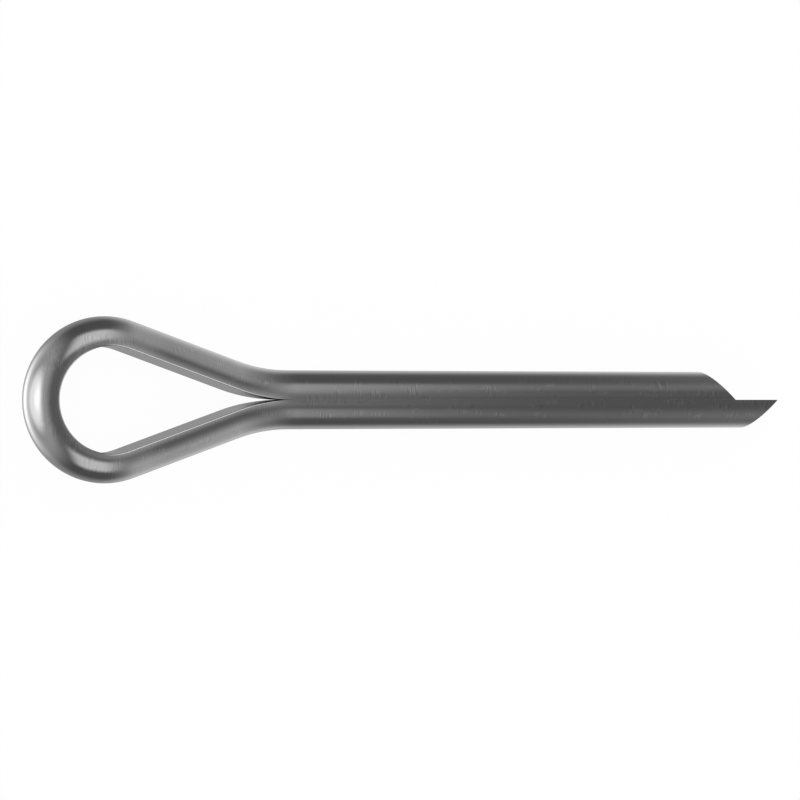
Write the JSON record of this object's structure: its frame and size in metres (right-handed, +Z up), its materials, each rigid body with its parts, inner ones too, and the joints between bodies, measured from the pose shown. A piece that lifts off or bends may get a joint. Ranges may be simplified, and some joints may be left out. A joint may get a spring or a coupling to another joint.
{
  "type": "cotter pin",
  "caption": "Split cotter pin bent from half-round steel wire, with a teardrop eye, closed prongs of unequal length and slant-sheared ends, lying on its side.",
  "frame": {"origin": "on the axis of the closed shank, where the closing bends end and the straight shank starts", "axes": "+X along the shank towards the prong points, with the eye at -X; +Y towards the short prong; +Z up, at right angles to the plane of the eye, so the pin lies flat on its side"},
  "size_m": [0.0613, 0.0124, 0.0044],
  "materials": {
    "drawn_steel": "satin grey drawn wire with fine cross scuffs and slightly brighter edges"
  },
  "bodies": {
    "root": {"cotter_pin": "drawn_steel"}
  },
  "joints": []
}
